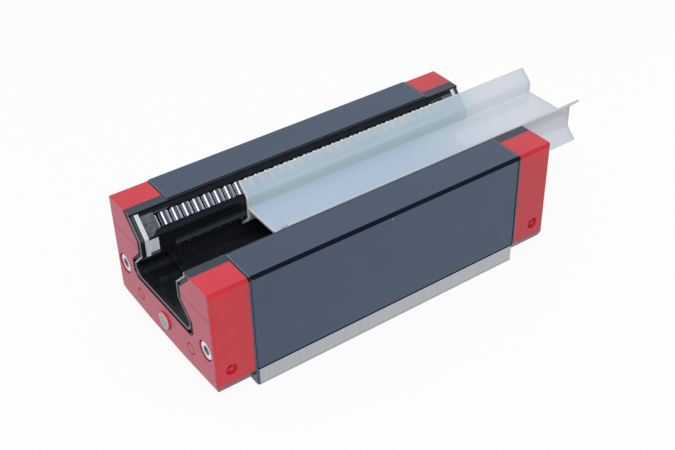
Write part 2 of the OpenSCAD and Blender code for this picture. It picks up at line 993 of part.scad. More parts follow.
// A deep slot with a shallow shelf above it and a slope below it
module groove_outline() {
    top_z = groove_z + retainer_groove_w;
    polygon([
        [guard_y - cut, top_z],
        [guard_y + shelf_depth, top_z],
        [guard_y + shelf_depth, shelf_z],
        [guard_y + retainer_groove, shelf_z],
        [guard_y + retainer_groove, groove_z],
        [guard_y, groove_z - groove_slope],
        [guard_y - cut, groove_z - groove_slope]
    ]);
}

// A shallow step in the strip's face near each end
module retainer_relief() {
    start_x = body_half + relief_end;
    translate([start_x, guard_y - cut, groove_z])
        cube([tab_x - start_x, cut + relief_depth, waist_z + relief_rise - groove_z]);
}

module waist_retainer(side) {
    color("#202226")
        on_side(side)
            difference() {
                union() {
                    span(-tab_x, tab_x) waist_outline();
                    both_ends() tongue(0, 0);
                }
                both_ends() retainer_relief();
                span(-groove_x, groove_x) groove_outline();
            }
}

// Strip above the upper load row, with the seal edge at the leg's end
module leg_seal_outline() {
    polygon([
        yz(race_u, row_v + track_side),
        yz(guard_u, row_v + track_side),
        [leg_seal_y, leg_seal_y - guard_u * root2],
        [leg_seal_y, cap_top],
        [mouth_half, cap_top],
        [mouth_half, body_h - seat_lip],
        [seat_y, body_h - seat_lip],
        [seat_y, seat_z]
    ]);
}

module leg_seal(side) {
    color("#26292e")
        on_side(side)
            span(-body_half, body_half) leg_seal_outline();
}

// Strip below the lower load row, down to the channel floor
module floor_retainer_outline() {
    polygon([
        flip(yz(race_u, row_v + track_side)),
        flip(yz(guard_u, row_v + track_side)),
        flip([leg_seal_y, leg_seal_y - guard_u * root2]),
        [leg_seal_y, floor_z],
        [seat_y, floor_z],
        flip([seat_y, seat_z])
    ]);
}

module floor_retainer(side) {
    color("#202226")
        on_side(side)
            span(-body_half, body_half) floor_retainer_outline();
}

module waist_retainer_left() { waist_retainer("left"); }
module waist_retainer_right() { waist_retainer("right"); }
module leg_seal_left() { leg_seal("left"); }
module leg_seal_right() { leg_seal("right"); }
module floor_retainer_left() { floor_retainer("left"); }
module floor_retainer_right() { floor_retainer("right"); }

// ---------------------------------------------------------------- return tubes

module return_tube(row, side) {
    tilt = row == "upper" ? -45 : 45;
    radius = row == "upper" ? up_radius : low_radius;
    color("#8d8f8a")
        on_side(side)
            span(-body_half, body_half)
                difference() {
                    return_outline(tilt, radius, 0);
                    track_outline(2 * radius, tilt, track_half, track_side);
                }
}

module return_tube_upper_left() { return_tube("upper", "left"); }
module return_tube_upper_right() { return_tube("upper", "right"); }
module return_tube_lower_left() { return_tube("lower", "left"); }
module return_tube_lower_right() { return_tube("lower", "right"); }

// ---------------------------------------------------------------- rollers

// A roller with its axis along the tilted direction of its row
module roller(row) {
    r = roller_d / 2;
    half = roller_l / 2;
    rotate([row == "upper" ? -45 : -135, 0, 0])
        rotate_extrude()
            polygon([
                [0, -half],
                [r - roller_chamfer, -half],
                [r, roller_chamfer - half],
                [r, half - roller_chamfer],
                [r - roller_chamfer, half],
                [0, half]
            ]);
}

// A roller at a place along the carriage and a depth behind the load row
module placed_roller(row, x, depth) {
    translate([x, row_y + depth / root2, row == "upper" ? upper_z - depth / root2 : lower_z + depth / root2])
        roller(row);
}

function row_count(row) = row == "upper" ? up_count : low_count;
function arc_count(row) = row == "upper" ? up_arc : low_arc;
function turn_x(row) = row == "upper" ? up_turn_x : low_turn_x;
function turn_radius(row) = row == "upper" ? up_radius : low_radius;
function phase(row, side) =
    row == "upper"
        ? (side == "left" ? phase_upper_left : phase_upper_right)
        : (side == "left" ? phase_lower_left : phase_lower_right);

module load_rollers(row, side) {
    color("#c9ccd0")
        on_side(side)
            for (k = [0 : row_count(row) - 1])
                placed_roller(row, phase(row, side) + k * pitch - turn_x(row), 0);
}

module return_rollers(row, side) {
    color("#c9ccd0")
        on_side(side)
            for (k = [0 : row_count(row) - 1])
                placed_roller(row, turn_x(row) - phase(row, side) - k * pitch, 2 * turn_radius(row));
}

module turn_rollers(end, row, side) {
    forward = end == "rear" ? 1 : -1;
    r = turn_radius(row);
    color("#c9ccd0")
        on_side(side)
            for (k = [0 : arc_count(row) - 1]) {
                angle = (phase(row, side) + k * pitch) / r * 180 / PI;
                placed_roller(row, forward * (turn_x(row) + r * sin(angle)), r * (1 - forward * cos(angle)));
            }
}

module load_rollers_upper_left() { load_rollers("upper", "left"); }
module load_rollers_upper_right() { load_rollers("upper", "right"); }
module load_rollers_lower_left() { load_rollers("lower", "left"); }
module load_rollers_lower_right() { load_rollers("lower", "right"); }
module return_rollers_upper_left() { return_rollers("upper", "left"); }
module return_rollers_upper_right() { return_rollers("upper", "right"); }
module return_rollers_lower_left() { return_rollers("lower", "left"); }
module return_rollers_lower_right() { return_rollers("lower", "right"); }
module front_turn_upper_left() { turn_rollers("front", "upper", "left"); }
module front_turn_upper_right() { turn_rollers("front", "upper", "right"); }
module front_turn_lower_left() { turn_rollers("front", "lower", "left"); }
module front_turn_lower_right() { turn_rollers("front", "lower", "right"); }
module rear_turn_upper_left() { turn_rollers("rear", "upper", "left"); }
module rear_turn_upper_right() { turn_rollers("rear", "upper", "right"); }
module rear_turn_lower_left() { turn_rollers("rear", "lower", "left"); }
module rear_turn_lower_right() { turn_rollers("rear", "lower", "right"); }

// ---------------------------------------------------------------- screws and plugs

module socket(depth) {
    translate([0, 0, -depth])
        cylinder(d = socket_af * 2 / sqrt(3), h = depth + cut, $fn = 6);
}

module cap_screw() {
    tip_x = body_half - screw_reach;
    seat_x = end_x - screw_sink - screw_head_h;
    color("#c4c7c9")
        difference() {
            union() {
                translate([tip_x, screw_y, screw_z])
                    rotate([0, 90, 0])
                        cylinder(d = screw_d, h = seat_x - tip_x + lap);
                translate([seat_x, screw_y, screw_z])
                    rotate([0, 90, 0])
                        cylinder(d = screw_head_d, h = screw_head_h);
            }
            translate([end_x - screw_sink, screw_y, screw_z])
                rotate([0, 90, 0]) socket(screw_head_h * 0.6);
        }
}

module cap_screws(end) {
    at_end(end) left_and_right() cap_screw();
}

module lube_plug(end) {
    color("#d8cdb4")
        at_end(end)
            translate([0, 0, port_z])
                rotate([0, 90, 0]) {
                    translate([0, 0, inner_x])
                        cylinder(d = port_d, h = cap_front + lap);
                    translate([0, 0, end_x])
                        cylinder(d = plug_d, h = plug_proud);
                }
}

module cap_screws_front() { cap_screws("front"); }
module cap_screws_rear() { cap_screws("rear"); }
module lube_plug_front() { lube_plug("front"); }
module lube_plug_rear() { lube_plug("rear"); }

// ---------------------------------------------------------------- assembly rail

// Points of a rounded corner, turning between two directions
function corner(centre, radius, from, to) =
    [for (i = [0 : 4]) centre + radius * [cos(from + (to - from) * i / 4), sin(from + (to - from) * i / 4)]];

// H section: the flanks follow the raceway planes and thin out towards their tips
module slip_outline() {
    slope = plane_up + slip_gap * root2;
    waist = waist_half + slip_waist_gap;
    centre = [waist + slip_round, slope + waist - slip_round * tan(22.5)];
    tip = [slip_tip_half, slip_tip_half + slope];
    outer = concat([tip], corner(centre, slip_round, 135, 180));
    inner = concat(
        corner(centre, slip_round + slip_wall, 180, 135),
        [tip + slip_tip_t / root2 * [-1, 1]]
    );
    web_end = [waist - slip_wall, waist_z + slip_wall / 2];
    polygon(both_sides(concat(
        [web_end],
        inner,
        outer,
        [for (p = reversed(outer)) flip(p)],
        [for (p = reversed(inner)) flip(p)],
        [flip(web_end)]
    )));
}

module assembly_rail() {
    far_x = end_x + slip_out;
    color("#dfe6ea")
        span(far_x - slip_l, far_x) slip_outline();
}

carriage_body();
end_cap_front();
end_cap_rear();
end_plate_front();
end_plate_rear();
end_seal_front();
end_seal_rear();
roller_guide_front_left();
roller_guide_front_right();
roller_guide_rear_left();
roller_guide_rear_right();
guide_cover_front_left();
guide_cover_front_right();
guide_cover_rear_left();
guide_cover_rear_right();
waist_retainer_left();
waist_retainer_right();
leg_seal_left();
leg_seal_right();
floor_retainer_left();
floor_retainer_right();
return_tube_upper_left();
return_tube_upper_right();
return_tube_lower_left();
return_tube_lower_right();
load_rollers_upper_left();
return_rollers_upper_left();
front_turn_upper_left();
rear_turn_upper_left();
load_rollers_upper_right();
return_rollers_upper_right();
front_turn_upper_right();
rear_turn_upper_right();
load_rollers_lower_left();
return_rollers_lower_left();
front_turn_lower_left();
rear_turn_lower_left();
load_rollers_lower_right();
return_rollers_lower_right();
front_turn_lower_right();
rear_turn_lower_right();
cap_screws_front();
cap_screws_rear();
lube_plug_front();
lube_plug_rear();
assembly_rail();
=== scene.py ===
import json
import math

import bpy
from mathutils import Matrix, Vector

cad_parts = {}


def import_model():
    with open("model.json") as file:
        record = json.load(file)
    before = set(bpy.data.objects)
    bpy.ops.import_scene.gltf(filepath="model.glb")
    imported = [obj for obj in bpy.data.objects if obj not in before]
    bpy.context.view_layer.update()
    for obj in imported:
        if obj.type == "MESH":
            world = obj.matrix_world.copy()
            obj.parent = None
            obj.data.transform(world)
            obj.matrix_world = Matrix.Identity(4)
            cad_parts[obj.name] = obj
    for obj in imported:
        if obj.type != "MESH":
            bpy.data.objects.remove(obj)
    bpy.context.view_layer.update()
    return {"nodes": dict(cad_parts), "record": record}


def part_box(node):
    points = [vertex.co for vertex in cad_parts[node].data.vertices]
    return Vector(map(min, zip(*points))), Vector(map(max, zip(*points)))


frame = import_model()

# All lengths are in metres. +X is the rear end, +Y the left side, and z = 0 the mounting face.
MM = 0.001
NODES = frame["nodes"]

body_low, body_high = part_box("carriage_body")
cap_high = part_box("end_cap_rear")[1]
plate_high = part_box("end_plate_rear")[1]
seal_low, seal_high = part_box("end_seal_rear")
plug_low, plug_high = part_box("lube_plug_front")
screws_low, screws_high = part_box("cap_screws_front")
rail_low, rail_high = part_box("assembly_rail")

BODY_HALF = body_high.x
HALF_W = body_high.y
BODY_H = body_high.z
END_X = cap_high.x
CAP_TOP = cap_high.z
PORT_Z = (plug_low.z + plug_high.z) / 2

# Sizes of the part's forms that no box gives
STRIP_TOP = 9.2 * MM
STRIP_GROOVE = 0.6 * MM
LEG_CHAMFER = 1.45 * MM
CHANNEL_HALF = 27.5 * MM
CHANNEL_FLOOR = 20 * MM
CHANNEL_WALL_Y = 23 * MM
CHANNEL_WALL_TOP = 32 * MM
LEG_FOOT = 47 * MM
CAP_STRIP_Y = 28.6 * MM
CLOSED_PORT_Y = 22 * MM
CLOSED_PORT_RADIUS = 2.95 * MM
SCREW_HEAD_RADIUS = 4.15 * MM
SCREW_SOCKET_RADIUS = 2.3 * MM
SCREW_Y = screws_high.y - SCREW_HEAD_RADIUS
SCREW_Z = (screws_low.z + screws_high.z) / 2
LIP_Z = seal_low.z + 1.6 * MM
ROLLER_PITCH = 5.25 * MM
ROLLER_X = 3 * MM
# The guide rail's outline: half its width, half its upright waist, and the heights at which its
# slanted planes would reach y = 0
RAIL_HALF = 22.5 * MM
RAIL_WAIST_HALF = 14.7 * MM
RAIL_PLANE_LOW = 34.0 * MM
RAIL_PLANE_HIGH = 54.3 * MM
# Moulded marks on each roller guide: places along the part and up the slanted face
EJECTOR_X = 82.6 * MM
EJECTOR_RISE = 49.15 * MM
EJECTOR_RADIUS = 1.5 * MM
GUIDE_SEAM_RISE = 51.05 * MM
# The assembly rail's flat web ends here, and its flanks begin
WEB_HALF = 13.1 * MM


# ---------------------------------------------------------------- materials

class Graph:
    """A material's node tree, with short calls for the nodes used here."""

    def __init__(self, name):
        self.mat = bpy.data.materials.new(name)
        self.mat.use_nodes = True
        self.tree = self.mat.node_tree
        self.tree.nodes.clear()
        self.out = self.add("ShaderNodeOutputMaterial")
        self.shader = self.add("ShaderNodeBsdfPrincipled")
        self.link(self.shader.outputs["BSDF"], self.out.inputs["Surface"])
        self.place = self.add("ShaderNodeTexCoord").outputs["Object"]
        self.axes = None

    def add(self, kind, **values):
        node = self.tree.nodes.new(kind)
        for key, value in values.items():
            setattr(node, key, value)
        return node

    def link(self, source, target):
        self.tree.links.new(source, target)

    def put(self, socket, value):
        """Sets a socket to a number or colour, or links it to another socket."""
        if isinstance(value, bpy.types.NodeSocket):
            self.link(value, socket)
        elif isinstance(value, tuple):
            socket.default_value = (*value, 1) if socket.type == "RGBA" else value
        else:
            socket.default_value = value

    def surface(self, **values):
        for key, value in values.items():
            self.put(self.shader.inputs[key.replace("_", " ")], value)

    def axis(self, letter):
        if self.axes is None:
            self.axes = self.add("ShaderNodeSeparateXYZ")
            self.link(self.place, self.axes.inputs[0])
        return self.axes.outputs[letter]

    def facing(self, letter):
        """One part of the face's own direction."""
        normal = self.add("ShaderNodeSeparateXYZ")
        self.link(self.add("ShaderNodeNewGeometry").outputs["True Normal"], normal.inputs[0])
        return normal.outputs[letter]

    def math(self, operation, a, b=0.0):
        node = self.add("ShaderNodeMath", operation=operation)
        self.put(node.inputs[0], a)
        self.put(node.inputs[1], b)
        return node.outputs[0]

    def size(self, value):
        return self.math("ABSOLUTE", value)

    def minus(self, a, b):
        return self.math("SUBTRACT", a, b)

    def times(self, first, *others):
        for other in others:
            first = self.math("MULTIPLY", first, other)
        return first

    def most(self, a, b):
        return self.math("MAXIMUM", a, b)

    def radius(self, a, b):
        """Distance from the point where a and b are both 0."""
        return self.math("SQRT", self.math("ADD", self.times(a, a), self.times(b, b)))

    def step(self, value, low, high):
        """0 at low, 1 at high, smooth between; low may be the greater of the two."""
        node = self.add("ShaderNodeMapRange", interpolation_type="SMOOTHSTEP")
        self.put(node.inputs["Value"], value)
        node.inputs["From Min"].default_value = low
        node.inputs["From Max"].default_value = high
        return node.outputs["Result"]

    def above(self, value, level, soft):
        """0 up to a level, and 1 from a short way above it."""
        return self.step(value, level, level + soft)

    def below(self, value, level, soft):
        """0 down to a level, and 1 from a short way below it."""
        return self.step(value, level, level - soft)

    def band(self, value, low, high, soft):
        """1 between low and high, 0 outside, smooth over a short way."""
        return self.times(self.above(value, low - soft, soft), self.below(value, high + soft, soft))

    def rise(self):
        """Distance up the slanted planes on both sides of the channel."""
        return self.times(self.math("ADD", self.size(self.axis("Y")), self.axis("Z")), math.sqrt(0.5))

    def scaled(self, x, y, z):
        """The place, scaled along each axis."""
        node = self.add("ShaderNodeMapping")
        self.link(self.place, node.inputs["Vector"])
        node.inputs["Scale"].default_value = (x, y, z)
        return node.outputs["Vector"]

    def noise(self, scale, detail, rough=0.5, place=None):
        node = self.add("ShaderNodeTexNoise")
        self.link(place or self.place, node.inputs["Vector"])
        node.inputs["Scale"].default_value = scale
        node.inputs["Detail"].default_value = detail
        node.inputs["Roughness"].default_value = rough
        return node.outputs["Fac"]

    def sparse_dots(self, scale, radius, rare):
        """Round dots of one size, in the few cells whose random colour is above rare."""
        node = self.add("ShaderNodeTexVoronoi")
        self.link(self.place, node.inputs["Vector"])
        node.inputs["Scale"].default_value = scale
        cell = self.add("ShaderNodeSeparateColor")
        self.link(node.outputs["Color"], cell.inputs[0])
        return self.times(self.step(node.outputs["Distance"], radius * 1.3, radius),
                          self.math("GREATER_THAN", cell.outputs[0], rare))

    def spread(self, value, low, high):
        """Maps 0.3 to 0.7, where noise mostly lies, to low and high."""
        node = self.add("ShaderNodeMapRange")
        self.put(node.inputs["Value"], value)
        node.inputs["From Min"].default_value = 0.3
        node.inputs["From Max"].default_value = 0.7
        node.inputs["To Min"].default_value = low
        node.inputs["To Max"].default_value = high
        return node.outputs["Result"]

    def mix(self, factor, a, b, data_type="RGBA"):
        node = self.add("ShaderNodeMix", data_type=data_type)
        self.put(node.inputs["Factor"], factor)
        self.put(node.inputs["A"], a)
        self.put(node.inputs["B"], b)
        return node.outputs["Result"]

    def blend(self, factor, a, b):
        """As mix, for numbers."""
        return self.mix(factor, a, b, "FLOAT")

    def varied(self, pattern, colour, dark, light):
        """A colour that a pattern makes darker and lighter."""
        return self.mix(self.spread(pattern, 0, 1), shade(colour, dark), shade(colour, light))

    def bump(self, height, depth, strength):
        node = self.add("ShaderNodeBump")
        node.inputs["Distance"].default_value = depth
        node.inputs["Strength"].default_value = strength
        self.put(node.inputs["Height"], height)
        return node.outputs["Normal"]


def shade(colour, factor):
    return tuple(min(1.0, c * factor) for c in colour)


def coated_steel():
    """Blue-grey coat with fine specks, bare on the mounting face and the ground strip."""
    g = Graph("coated_steel")
    x, y, z = g.axis("X"), g.axis("Y"), g.axis("Z")
    reach = g.size(y)
    tone = g.noise(60, 4)
    colour = g.varied(tone, (0.071, 0.098, 0.138), 0.93, 1.07)
    colour = g.mix(g.sparse_dots(140, 0.035, 0.86), colour, (0.5, 0.53, 0.57))
    # Painted shade: the coat is painted nearly black on the chamfers along the legs, which mirror a
    # dark room, and down in the channel
    chamfer_shade = g.times(g.above(reach, HALF_W - LEG_CHAMFER, 0.15 * MM),
                      g.above(z, BODY_H - LEG_CHAMFER, 0.15 * MM))
    colour = g.mix(chamfer_shade, colour, (0.017, 0.021, 0.034))
    shaded_channel = g.times(g.below(reach, CHANNEL_HALF, 0.6 * MM), g.above(z, CHANNEL_FLOOR, 1 * MM),
                      g.below(z, BODY_H - 0.15 * MM, 0.15 * MM))
    # Lighter blotches on the channel floor
    blotch = g.step(g.noise(55, 4, 0.6), 0.5, 0.75)
    colour = g.mix(shaded_channel, colour, g.mix(blotch, (0.015, 0.0175, 0.021), (0.034, 0.038, 0.045)))
    # Painted highlight: a light line along the top edges of the body's ends, where the edges catch
    # the light
    end = g.times(g.above(g.size(x), BODY_HALF - 0.35 * MM, 0.15 * MM),
                  g.above(z, BODY_H - 0.4 * MM, 0.2 * MM))
    edge_highlight = g.times(end, g.spread(g.noise(400, 3), 0.3, 0.9))
    colour = g.mix(edge_highlight, colour, (0.34, 0.36, 0.38))
    strip = g.times(g.above(g.times(y, -1), HALF_W - 0.3 * MM, 0.1 * MM),
                    g.below(z, STRIP_TOP + 0.05 * MM, 0.1 * MM))
    base = g.below(z, 0.35 * MM, 0.1 * MM)
    bare = g.most(strip, base)
    grind = g.noise(1.0, 3, 0.6, g.scaled(3600, 60, 30))
    steel = g.mix(g.spread(grind, 0, 1), (0.435, 0.425, 0.42), (0.515, 0.50, 0.495))
    colour = g.mix(bare, colour, steel)
    # Painted shade: the groove above the ground strip is painted dark, and so is a thin line on the
    # chamfer along the body's foot
    side = g.above(reach, HALF_W - 1 * MM, 0.1 * MM)
    groove_top = STRIP_TOP + STRIP_GROOVE + 0.1 * MM
    groove_shade = g.times(side, g.band(z, STRIP_TOP - 0.05 * MM, groove_top, 0.08 * MM),
                     g.below(y, 1 * MM, 2 * MM))
    colour = g.mix(groove_shade, colour, (0.008, 0.008, 0.016))
    shaded_foot = g.times(side, g.below(z, 1.6 * MM, 0.2 * MM))
    colour = g.mix(g.times(shaded_foot, 0.3), colour, (0.12, 0.15, 0.17))
    grain = g.noise(1500, 2)
    g.surface(Base_Color=colour, Metallic=g.blend(bare, g.blend(shaded_channel, 0.75, 0.0), 1.0),
              Specular_IOR_Level=0.7, Normal=g.bump(g.mix(bare, grain, grind), 0.02 * MM, 0.35),
              Roughness=g.blend(bare, g.spread(tone, 0.34, 0.42), g.spread(grind, 0.33, 0.39)))
    return g.mat


def tube_plastic():
    """Grey moulded plastic: slight changes of tone and a fine eroded grain."""
    g = Graph("tube_plastic")
    fine = g.noise(900, 3)
    g.surface(Base_Color=g.varied(g.noise(70, 4), (0.33, 0.34, 0.32), 0.92, 1.08),
              Roughness=g.spread(fine, 0.40, 0.50), Normal=g.bump(fine, 0.03 * MM, 0.4))
    return g.mat


def grey_guide():
    """Grey plastic with a moulded seam and an ejector's ring on each slanted face."""
    g = Graph("grey_guide")
    along, rise = g.size(g.axis("X")), g.rise()
    cloud = g.noise(420, 4, 0.65)
    fine = g.noise(1000, 3)
    colour = g.varied(cloud, (0.140, 0.148, 0.165), 0.62, 1.35)
    seam = g.band(rise, GUIDE_SEAM_RISE - 0.1 * MM, GUIDE_SEAM_RISE + 0.1 * MM, 0.25 * MM)
    colour = g.mix(g.times(seam, 0.75), colour, (0.045, 0.05, 0.06))
    lower = g.below(rise, GUIDE_SEAM_RISE + 0.05 * MM, 0.2 * MM)
    colour = g.mix(g.times(lower, 0.35), colour, (0.05, 0.056, 0.066))
    radius = g.radius(g.minus(along, EJECTOR_X), g.minus(rise, EJECTOR_RISE))
    ring = g.band(radius, EJECTOR_RADIUS - 0.2 * MM, EJECTOR_RADIUS + 0.2 * MM, 0.35 * MM)
    ring = g.times(ring, g.spread(cloud, 0.15, 0.75))
    colour = g.mix(ring, colour, (0.20, 0.22, 0.235))
    g.surface(Base_Color=colour, Roughness=g.spread(fine, 0.3, 0.4),
              Normal=g.bump(g.math("ADD", ring, fine), 0.05 * MM, 0.4))
    return g.mat


def seal_rubber():
    """Black rubber, finely ribbed up the slanted legs of the end seals, with painted highlights on
    its lips, its ribs and a thin line across its legs.
    """
    g = Graph("seal_rubber")
    along, reach, z = g.size(g.axis("X")), g.size(g.axis("Y")), g.axis("Z")
    rib_pitch, ribs_x, line_x = 0.95 * MM, 88.4 * MM, 88.05 * MM
    wave = g.math("SINE", g.times(g.rise(), 2 * math.pi / rib_pitch))
    leg = g.above(z, LEG_FOOT, 1 * MM)
    ribs = g.times(leg, g.above(along, ribs_x, 0.2 * MM), g.step(wave, -0.3, 0.5))
    line = g.times(leg, g.band(along, line_x - 0.1 * MM, line_x + 0.1 * MM, 0.1 * MM))
    # The rail's outline moved out a little: the lips lie inside it, the outer rims outside
    out = 2 * MM
    slant_out = out * math.sqrt(2)
    width = g.most(g.minus(z, RAIL_PLANE_LOW - slant_out),
                   g.minus(RAIL_PLANE_HIGH + slant_out, z))
    width = g.most(width, RAIL_WAIST_HALF + out)
    # Down in the channel it ends at the rail's side, and up the legs the seal ends first
    widest = g.blend(leg, RAIL_HALF + out, seal_high.y + out)
    width = g.math("MINIMUM", width, widest)
    inside = g.times(g.above(g.minus(width, reach), 0.0, 0.1 * MM), g.above(z, LIP_Z, 0.1 * MM))
    lit_lip = g.times(inside, g.above(along, seal_high.x - 0.5 * MM, 0.2 * MM))
    # Painted highlight: the lips are painted pale, brighter under the left waist and up the right leg
    left = g.above(g.axis("Y"), -1 * MM, 2 * MM)
    up_leg = g.above(z, LEG_FOOT + 1 * MM, 1 * MM)
    under_waist = g.band(z, 33.5 * MM, 40 * MM, 1 * MM)
    bright = g.blend(left, up_leg, under_waist)
    fine = g.noise(1200, 3)
    colour = g.mix(g.spread(g.noise(200, 3), 0, 1), (0.008, 0.010, 0.012), (0.013, 0.015, 0.018))
    # Painted highlights: the ribs and a thin line across the legs are painted lighter
    colour = g.mix(g.times(ribs, 0.9), colour, (0.11, 0.12, 0.135))
    colour = g.mix(g.times(line, 0.8), colour, (0.26, 0.25, 0.225))
    colour = g.mix(g.times(lit_lip, g.blend(bright, 0.36, 0.95)), colour, (0.58, 0.565, 0.60))
    g.surface(Base_Color=colour, Roughness=g.spread(fine, 0.36, 0.48), Specular_IOR_Level=0.35,
              Normal=g.bump(g.math("ADD", ribs, g.times(fine, 0.3)), 0.1 * MM, 0.6))
    return g.mat


def black_plastic():
    """Black plastic with lighter blotches low down, and painted highlights where its edges and
    shelves catch the light.
    """
    g = Graph("black_plastic")
    x, z = g.axis("X"), g.axis("Z")
    along, reach = g.size(x), g.size(g.axis("Y"))
    fine = g.noise(900, 3)
    colour = g.varied(g.noise(70, 4), (0.010, 0.012, 0.0155), 0.9, 1.1)
    # Lighter blotches low down
    blotch = g.times(g.step(g.noise(110, 4, 0.6), 0.52, 0.75),
                     g.below(z, CHANNEL_WALL_TOP + 2 * MM, 2 * MM))
    colour = g.mix(blotch, colour, (0.034, 0.038, 0.046))
    # Painted highlight: a lighter band on the channel's walls
    lit_wall = g.times(g.band(reach, CHANNEL_WALL_Y, CHANNEL_WALL_Y + 0.6 * MM, 0.1 * MM),
                   g.below(z, CHANNEL_WALL_TOP, 0.5 * MM))
    colour = g.mix(lit_wall, colour, (0.024, 0.028, 0.032))
    # The strips along the caps' tops
    edge = g.times(g.above(z, CAP_TOP - 0.5 * MM, 0.2 * MM),
                   g.below(reach, CAP_STRIP_Y, 0.1 * MM))
    colour = g.mix(edge, colour, (0.012, 0.023, 0.038))
    # The plates' rims have the body's colour, apart from a thin dark line by the front cap
    rim = g.times(g.above(reach, plate_high.y - 1 * MM, 0.2 * MM),
                  g.below(z, CAP_TOP - 1.5 * MM, 0.2 * MM),
                  g.above(x, -BODY_HALF - 0.7 * MM, 0.1 * MM))
    colour = g.mix(rim, colour, (0.075, 0.104, 0.146))
    # Painted highlight on the plates' brows over the ends of the upper rollers
    brow_low, brow_high = 53.7 * MM, 54.9 * MM
    brow_highlight = g.times(g.band(g.rise(), brow_low, brow_high, 0.2 * MM),
                   g.above(along, BODY_HALF + 1 * MM, 0.5 * MM))
    colour = g.mix(g.times(brow_highlight, 0.85), colour, (0.075, 0.082, 0.098))
    # Painted highlight on the sloping side and the shelf of the waist retainers' grooves, which face
    # up to the light
    retainer_y, slope_low, slope_high, shelf_z = 18.5 * MM, 40.2 * MM, 43.1 * MM, 45.05 * MM
    retainer = g.times(g.below(reach, retainer_y, 0.3 * MM),
                       g.below(along, BODY_HALF + 2.7 * MM, 0.2 * MM))
    slope = g.times(g.below(z, slope_high, 2.5 * MM), g.above(z, slope_low, 0.2 * MM))
    shelf = g.times(g.band(z, shelf_z, shelf_z + 0.25 * MM, 0.1 * MM), 0.6)
    colour = g.mix(g.times(retainer, g.most(slope, shelf)), colour, (0.050, 0.056, 0.072))
    g.surface(Base_Color=colour, Roughness=g.spread(fine, 0.23, 0.33),
              Normal=g.bump(fine, 0.03 * MM, 0.4))
    return g.mat


def red_plastic():
    """Red moulded caps, with painted reflection paling their end faces, and painted shade under their
    skirts, towards the rear and round the ports.
    """
    g = Graph("red_cap")
    along, z = g.size(g.axis("X")), g.axis("Z")
    fine = g.noise(1300, 3)
    colour = g.varied(g.noise(80, 4), (0.725, 0.015, 0.030), 0.93, 1.07)
    # Painted shade on faces that point down
    underside_shading = g.step(g.facing("Z"), -0.1, -0.25)
    colour = g.mix(g.times(underside_shading, 0.72), colour, (0.075, 0.022, 0.03))
    # Painted reflection: the end faces are painted paler, as lit by the bright floor they mirror
    end = g.step(g.size(g.facing("X")), 0.9, 0.98)
    colour = g.mix(end, colour, (0.735, 0.088, 0.136))
    # Painted shade: a little darker towards the rear
    deepest_x = 80 * MM
    rear_shade = g.step(g.axis("X"), 0.0, deepest_x)
    colour = g.mix(g.times(rear_shade, 0.12), colour, (0.2, 0.014, 0.03))
    # Painted shade: a deep red ring round the closed ports, on the boss's side
    radius = g.radius(g.minus(g.size(g.axis("Y")), CLOSED_PORT_Y), g.minus(z, PORT_Z))
    ring = g.times(g.band(radius, CLOSED_PORT_RADIUS - 0.55 * MM, CLOSED_PORT_RADIUS, 0.15 * MM),
                   g.above(along, END_X - 0.8 * MM, 0.2 * MM))
    colour = g.mix(g.times(ring, 0.9), colour, (0.36, 0.004, 0.008))
    g.surface(Base_Color=colour, Roughness=g.spread(fine, 0.38, 0.48),
              Specular_IOR_Level=0.78, Normal=g.bump(fine, 0.03 * MM, 0.35))
    return g.mat


def white_plastic():
    """White plastic with fine flow marks, and painted shade darkening its foot."""
    g = Graph("white_plastic")
    flow = g.noise(1.0, 4, 0.65, g.scaled(500, 160, 160))
    colour = g.varied(flow, (0.78, 0.84, 0.875), 0.88, 1.06)
    # Painted shade: dark at its foot
    shaded_foot = 39.9 * MM
    colour = g.mix(g.below(g.axis("Z"), shaded_foot, 0.7 * MM), colour, (0.03, 0.033, 0.038))
    g.surface(Base_Color=colour, Roughness=g.spread(g.noise(1000, 3), 0.35, 0.45),
              Normal=g.bump(flow, 0.03 * MM, 0.4))
    return g.mat


def port_plug():
    """Cream plastic with a faint moulded ring round the middle of its head."""
    g = Graph("plug_plastic")
    radius = g.radius(g.axis("Y"), g.minus(g.axis("Z"), PORT_Z))
    cloud = g.noise(500, 4, 0.65)
    fine = g.noise(1100, 3)
    colour = g.varied(cloud, (0.70, 0.66, 0.58), 0.86, 1.08)
    ring_radius = 2.1 * MM
    middle = g.below(radius, ring_radius + 0.1 * MM, 0.3 * MM)
    colour = g.mix(g.times(middle, 0.4), colour, (0.50, 0.42, 0.44))
    ring = g.times(g.band(radius, ring_radius, ring_radius + 0.3 * MM, 0.3 * MM),
                   g.spread(cloud, 0.4, 1.0))
    colour = g.mix(ring, colour, (0.36, 0.27, 0.27))
    g.surface(Base_Color=colour, Roughness=g.spread(fine, 0.35, 0.45),
              Normal=g.bump(g.math("ADD", ring, fine), 0.05 * MM, 0.4))
    return g.mat


def roller_steel():
    """Ground and polished bearing steel."""
    g = Graph("roller_steel")
    fine = g.noise(3000, 2)
    g.surface(Base_Color=g.mix(g.spread(fine, 0, 1), (0.70, 0.71, 0.73), (0.82, 0.83, 0.85)),
              Metallic=1.0, Roughness=g.spread(fine, 0.05, 0.09),
              Normal=g.bump(fine, 0.003 * MM, 0.2))
    return g.mat


def screw_steel():
    """Zinc-plated screws with a dull grey-green socket."""
    g = Graph("screw_steel")
    fine = g.noise(1400, 3)
    radius = g.radius(g.minus(g.size(g.axis("Y")), SCREW_Y), g.minus(g.axis("Z"), SCREW_Z))
    socket = g.below(radius, SCREW_SOCKET_RADIUS, 0.3 * MM)
    bright = g.mix(g.spread(g.noise(300, 3), 0, 1), (0.66, 0.72, 0.80), (0.84, 0.90, 0.96))
    g.surface(Base_Color=g.mix(socket, bright, (0.26, 0.33, 0.32)),
              Metallic=g.blend(socket, 1.0, 0.0), Roughness=g.spread(fine, 0.28, 0.42),
              Normal=g.bump(fine, 0.02 * MM, 0.4))
    return g.mat


